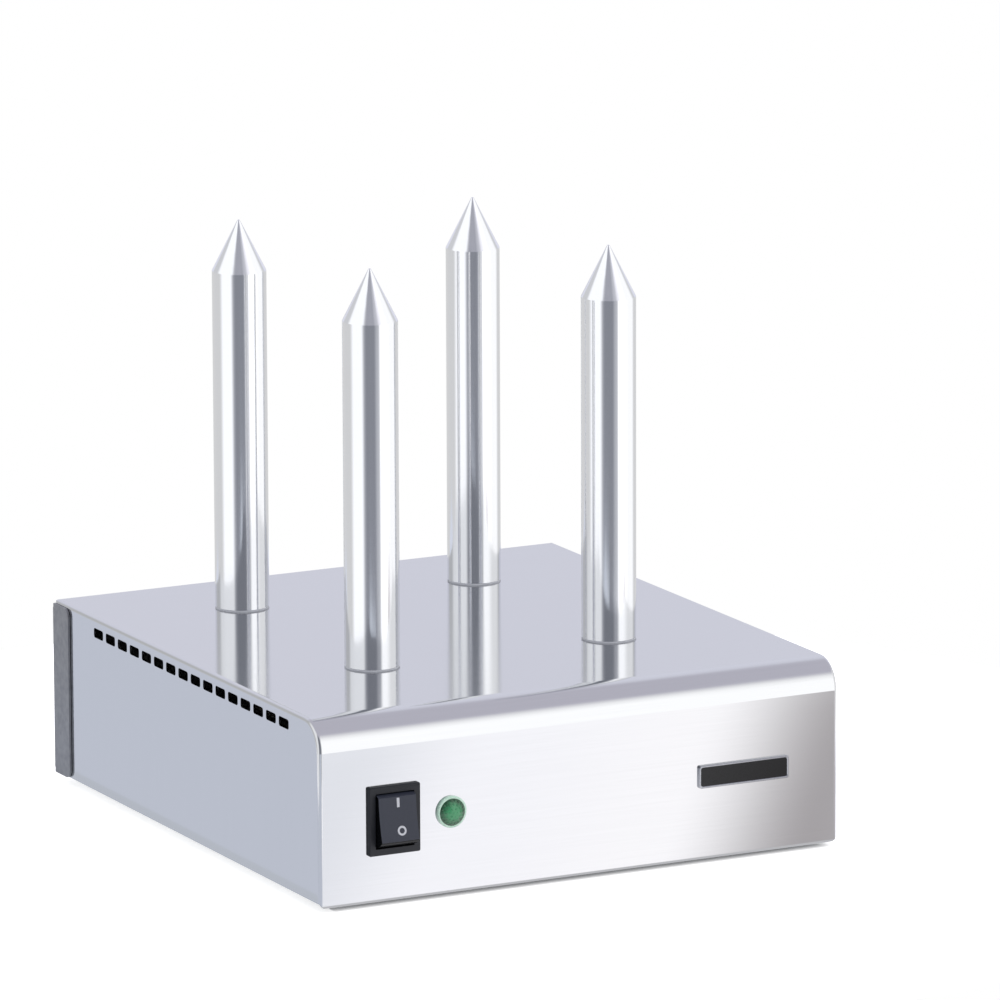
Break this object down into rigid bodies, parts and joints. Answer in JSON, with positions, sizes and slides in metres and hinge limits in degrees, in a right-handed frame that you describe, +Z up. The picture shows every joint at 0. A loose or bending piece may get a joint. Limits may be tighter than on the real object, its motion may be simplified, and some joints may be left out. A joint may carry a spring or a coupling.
{
  "type": "spike toaster",
  "caption": "Bun toaster with upright heated spikes on a low folded stainless steel case, a rocker switch and pilot lamp on the front and a cable gland at the rear.",
  "frame": {"origin": "on the surface the feet stand on, under the middle of the toaster's outer box", "axes": "+X to the right seen from the front, the front faces -Y, +Z up along the spikes"},
  "size_m": [0.2624, 0.3048, 0.268],
  "materials": {
    "stainless_sheet": "bright stainless sheet, polished top, fine vertical grain",
    "dull_stainless": "dull brushed stainless sheet",
    "zinc_steel": "zinc plated steel",
    "polished_aluminium": "turned and polished",
    "heater_sheath": "drawn steel sheath",
    "black_plastic": "moulded, fine satin",
    "dark_fibre": "matt",
    "foot_rubber": "matt",
    "brass": "plain",
    "ceramic": "glazed white",
    "green_lens": "clear moulded green",
    "wire_sleeve": "woven heat-proof sleeve",
    "bulb_glass": "clear"
  },
  "bodies": {
    "case": {"body_shell": "stainless_sheet", "rear_panel": "dull_stainless", "base_plate": "zinc_steel", "carrier_plate": "zinc_steel", "spike_front_left": "polished_aluminium", "spike_front_right": "polished_aluminium", "spike_rear_left": "polished_aluminium", "spike_rear_right": "polished_aluminium", "spike_gaskets": "dark_fibre", "spike_washers": "zinc_steel", "spike_nuts": "zinc_steel", "heater_front_left": "heater_sheath", "heater_front_right": "heater_sheath", "heater_rear_left": "heater_sheath", "heater_rear_right": "heater_sheath", "heater_set_screws": "heater_sheath", "thermostat": "black_plastic", "thermostat_tabs": "brass", "thermostat_screws": "zinc_steel", "terminal_block": "ceramic", "terminal_inserts": "brass", "terminal_screws": "zinc_steel", "block_screws": "zinc_steel", "earth_stud": "brass", "earth_washer": "zinc_steel", "earth_nut": "brass", "supply_wires": "wire_sleeve", "switched_wires": "wire_sleeve", "thermostat_wire": "wire_sleeve", "heater_leads": "wire_sleeve", "lamp_leads": "wire_sleeve", "block_links": "brass", "gland_body": "black_plastic", "gland_seal": "dark_fibre", "gland_cap": "black_plastic", "gland_locknut": "black_plastic", "switch_housing": "black_plastic", "switch_terminals": "brass", "lamp_lens": "green_lens", "lamp_body": "dark_fibre", "lamp_bulb": "bulb_glass", "lamp_clip": "zinc_steel", "lamp_tabs": "brass", "foot_front_left": "foot_rubber", "foot_front_right": "foot_rubber", "foot_rear_left": "foot_rubber", "foot_rear_right": "foot_rubber", "foot_screws": "zinc_steel", "base_screws": "zinc_steel", "rear_screws": "zinc_steel"},
    "rocker": {"switch_rocker": "black_plastic", "switch_plungers": "ceramic", "switch_springs": "zinc_steel"},
    "contacts": {"contact_arms": "brass"}
  },
  "joints": [
    {"name": "rocker_tip", "type": "hinge", "parent": "case", "child": "rocker", "pos_m": [-0.0937, -0.14364, 0.0393], "axis": [1, 0, 0], "range_deg": [0, 20]},
    {"name": "contact_rock", "type": "hinge", "parent": "case", "child": "contacts", "pos_m": [-0.0937, -0.13164, 0.0393], "axis": [1, 0, 0], "range_deg": [-12, 0]}
  ],
  "couplings": [
    {"joint": "contact_rock", "follows": "rocker_tip", "ratio": -0.6}
  ]
}
